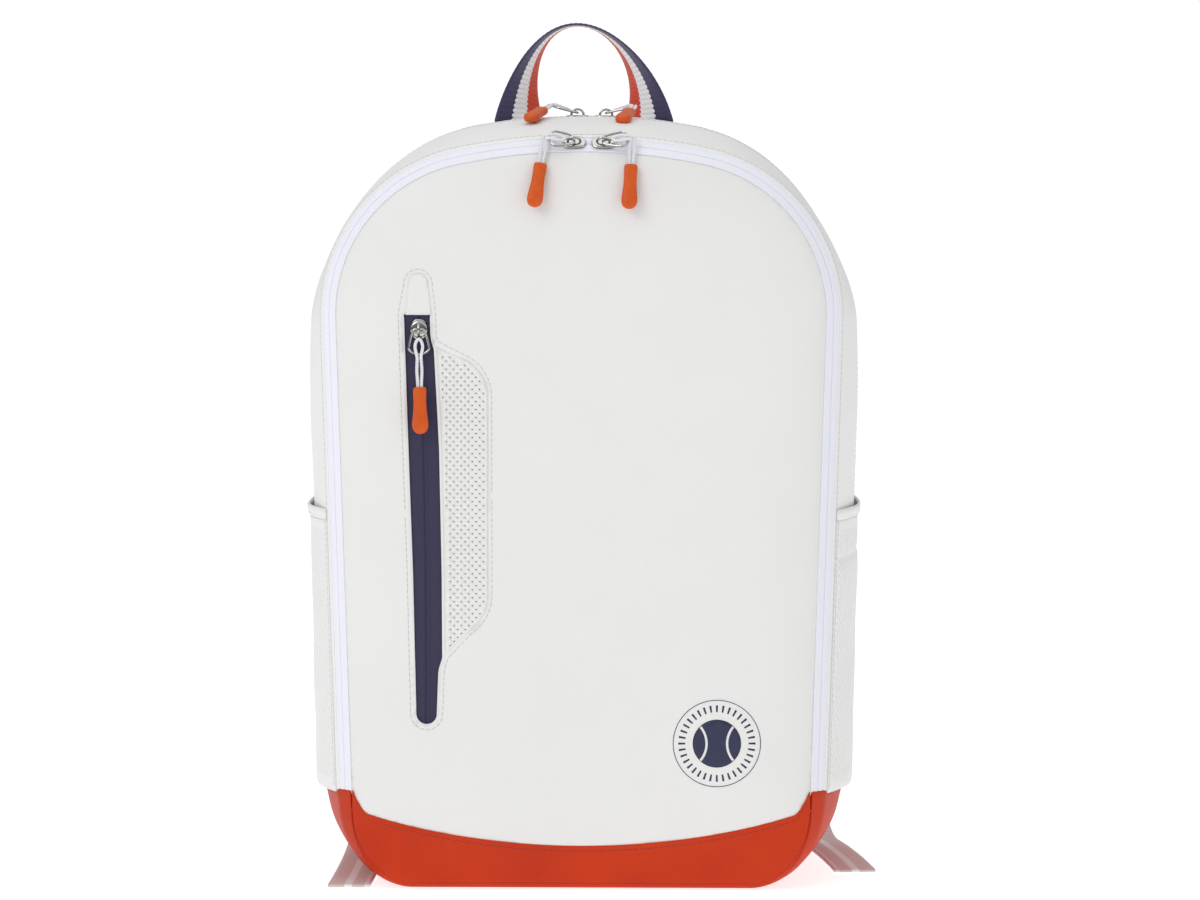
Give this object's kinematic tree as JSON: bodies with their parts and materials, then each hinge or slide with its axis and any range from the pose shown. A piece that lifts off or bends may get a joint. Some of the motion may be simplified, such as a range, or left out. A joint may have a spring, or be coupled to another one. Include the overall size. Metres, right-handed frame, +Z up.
{
  "type": "racket backpack",
  "caption": "Racket backpack with zipped compartments, front and side pockets, a coloured boot, a webbing grab handle and padded shoulder straps.",
  "frame": {"origin": "on the ground, under the middle of the bag's foot", "axes": "+Z up, -Y out of the front panel, +X to the right of someone who faces the front"},
  "size_m": [0.3415, 0.2374, 0.5095],
  "materials": {
    "white_leather": "white coated leather-look fabric, fine grain, satin",
    "orange_leather": "orange-red coated leather-look fabric, fine grain, satin",
    "lilac_tape": "woven zipper tape, pale lilac white",
    "navy_tape": "woven reverse-coil zipper tape, navy",
    "white_coil": "moulded coil, white",
    "nickel": "polished nickel plating",
    "white_cord": "braided cord, white",
    "orange_grip": "moulded soft plastic, orange",
    "tricolour_webbing": "ribbed webbing in navy, white and red stripes",
    "mesh": "spacer mesh, pale grey",
    "lining": "woven lining, grey",
    "grey_plastic": "moulded plastic, dark grey",
    "board": "stiffening sheet, dark grey",
    "print": "printed disc, navy"
  },
  "bodies": {
    "root": {"back_panel": "white_leather", "back_pad_left": "mesh", "back_pad_right": "mesh", "lumbar_pad": "mesh", "frame_sheet": "board", "rear_gusset": "white_leather", "middle_gusset": "white_leather", "divider": "lining", "laptop_sleeve": "lining", "main_zip_tape": "lilac_tape", "main_zip_coil": "white_coil", "front_zip_tape_rear": "lilac_tape", "front_zip_coil_rear": "white_coil", "boot_gusset": "orange_leather", "boot_front": "orange_leather", "front_panel_foot": "white_leather", "base_board": "board", "side_pocket_left": "white_leather", "side_pocket_right": "white_leather", "pocket_hem_left": "white_leather", "pocket_hem_right": "white_leather", "strap_yoke": "white_leather", "strap_tab_left": "orange_leather", "strap_tab_right": "orange_leather"},
    "front_panel": {"front_panel": "white_leather", "front_zip_tape_front": "lilac_tape", "front_zip_coil_front": "white_coil", "pocket_zip_tape": "navy_tape", "pocket_zip_coil": "navy_tape", "perforated_panel": "white_leather", "zip_garage": "white_leather", "pocket_bag": "lining", "badge": "print"},
    "slider_front_left_body": {"slider_front_left": "nickel"},
    "pull_front_left_body": {"pull_front_left": "nickel"},
    "cord_front_left_body": {"cord_front_left": "white_cord", "grip_front_left": "orange_grip"},
    "slider_front_right_body": {"slider_front_right": "nickel"},
    "pull_front_right_body": {"pull_front_right": "nickel"},
    "cord_front_right_body": {"cord_front_right": "white_cord", "grip_front_right": "orange_grip"},
    "slider_main_left_body": {"slider_main_left": "nickel"},
    "pull_main_left_body": {"pull_main_left": "nickel"},
    "cord_main_left_body": {"cord_main_left": "white_cord", "grip_main_left": "orange_grip"},
    "slider_main_right_body": {"slider_main_right": "nickel"},
    "pull_main_right_body": {"pull_main_right": "nickel"},
    "cord_main_right_body": {"cord_main_right": "white_cord", "grip_main_right": "orange_grip"},
    "slider_pocket_body": {"slider_pocket": "nickel"},
    "pull_pocket_body": {"pull_pocket": "nickel"},
    "cord_pocket_body": {"cord_pocket": "white_cord", "grip_pocket": "orange_grip"},
    "handle_body": {"grab_handle": "tricolour_webbing"},
    "strap_left_body": {"shoulder_strap_left": "white_leather", "strap_webbing_left": "tricolour_webbing"},
    "lock_left_body": {"ladder_lock_left": "grey_plastic"},
    "strap_right_body": {"shoulder_strap_right": "white_leather", "strap_webbing_right": "tricolour_webbing"},
    "lock_right_body": {"ladder_lock_right": "grey_plastic"}
  },
  "joints": [
    {"name": "front_panel_open", "type": "hinge", "parent": "root", "child": "front_panel", "pos_m": [0, -0.09086, 0.061], "axis": [1, 0, 0], "range_deg": [0, 80]},
    {"name": "slider_front_left_run", "type": "hinge", "parent": "front_panel", "child": "slider_front_left_body", "pos_m": [0, -0.0755, 0.0845], "axis": [0, 1, 0], "range_deg": [-9.5, 0]},
    {"name": "pull_front_left_lift", "type": "hinge", "parent": "slider_front_left_body", "child": "pull_front_left_body", "pos_m": [-0.00403, -0.07784, 0.44122], "axis": [-0.0078, 0.725, 0.6887], "range_deg": [-2, 80]},
    {"name": "cord_front_left_lift", "type": "hinge", "parent": "pull_front_left_body", "child": "cord_front_left_body", "pos_m": [-0.02092, -0.07927, 0.44253], "axis": [-1, 0, 0], "range_deg": [0, 70]},
    {"name": "slider_front_right_run", "type": "hinge", "parent": "front_panel", "child": "slider_front_right_body", "pos_m": [0, -0.0755, 0.0845], "axis": [0, 1, 0], "range_deg": [0, 8]},
    {"name": "pull_front_right_lift", "type": "hinge", "parent": "slider_front_right_body", "child": "pull_front_right_body", "pos_m": [0.01309, -0.07784, 0.441], "axis": [-0.0253, -0.725, -0.6883], "range_deg": [-2, 80]},
    {"name": "cord_front_right_lift", "type": "hinge", "parent": "pull_front_right_body", "child": "cord_front_right_body", "pos_m": [0.03001, -0.07927, 0.44188], "axis": [-1, 0, 0], "range_deg": [0, 70]},
    {"name": "slider_main_left_run", "type": "hinge", "parent": "root", "child": "slider_main_left_body", "pos_m": [0, -0.003, 0.0845], "axis": [0, 1, 0], "range_deg": [-9.5, 0]},
    {"name": "pull_main_left_lift", "type": "hinge", "parent": "slider_main_left_body", "child": "pull_main_left_body", "pos_m": [-0.00404, -0.003, 0.45598], "axis": [0, 1, 0], "range_deg": [0, 90]},
    {"name": "cord_main_left_lift", "type": "hinge", "parent": "pull_main_left_body", "child": "cord_main_left_body", "pos_m": [-0.0205, -0.003, 0.4602], "axis": [-1, 0, 0], "range_deg": [0, 80]},
    {"name": "slider_main_right_run", "type": "hinge", "parent": "root", "child": "slider_main_right_body", "pos_m": [0, -0.003, 0.0845], "axis": [0, 1, 0], "range_deg": [0, 8]},
    {"name": "pull_main_right_lift", "type": "hinge", "parent": "slider_main_right_body", "child": "pull_main_right_body", "pos_m": [0.01312, -0.003, 0.45577], "axis": [0, -1, 0], "range_deg": [0, 90]},
    {"name": "cord_main_right_lift", "type": "hinge", "parent": "pull_main_right_body", "child": "cord_main_right_body", "pos_m": [0.02968, -0.003, 0.45959], "axis": [-1, 0, 0], "range_deg": [0, 80]},
    {"name": "slider_pocket_run", "type": "slide", "parent": "front_panel", "child": "slider_pocket_body", "axis": [0.0157, 0, -0.9999], "range_m": [0, 0.215]},
    {"name": "pull_pocket_lift", "type": "hinge", "parent": "slider_pocket_body", "child": "pull_pocket_body", "pos_m": [-0.09424, -0.09405, 0.33099], "axis": [-0.9999, 0, -0.0157], "range_deg": [0, 110]},
    {"name": "cord_pocket_lift", "type": "hinge", "parent": "pull_pocket_body", "child": "cord_pocket_body", "pos_m": [-0.09398, -0.09405, 0.31399], "axis": [-1, 0, 0], "range_deg": [0, 60]},
    {"name": "handle_fold", "type": "hinge", "parent": "root", "child": "handle_body", "pos_m": [0, 0.087, 0.4512], "axis": [1, 0, 0], "range_deg": [-60, 50]},
    {"name": "strap_left_swing", "type": "hinge", "parent": "root", "child": "strap_left_body", "pos_m": [-0.05, 0.0944, 0.413], "axis": [1, 0, 0], "range_deg": [0, 18]},
    {"name": "ladder_lock_left_tilt", "type": "hinge", "parent": "strap_left_body", "child": "lock_left_body", "pos_m": [-0.11024, 0.12605, 0.15087], "axis": [0.9669, 0, -0.255], "range_deg": [0, 30]},
    {"name": "strap_right_swing", "type": "hinge", "parent": "root", "child": "strap_right_body", "pos_m": [0.05, 0.0944, 0.413], "axis": [1, 0, 0], "range_deg": [0, 18]},
    {"name": "ladder_lock_right_tilt", "type": "hinge", "parent": "strap_right_body", "child": "lock_right_body", "pos_m": [0.11024, 0.12605, 0.15087], "axis": [0.9669, 0, 0.255], "range_deg": [0, 30]}
  ]
}
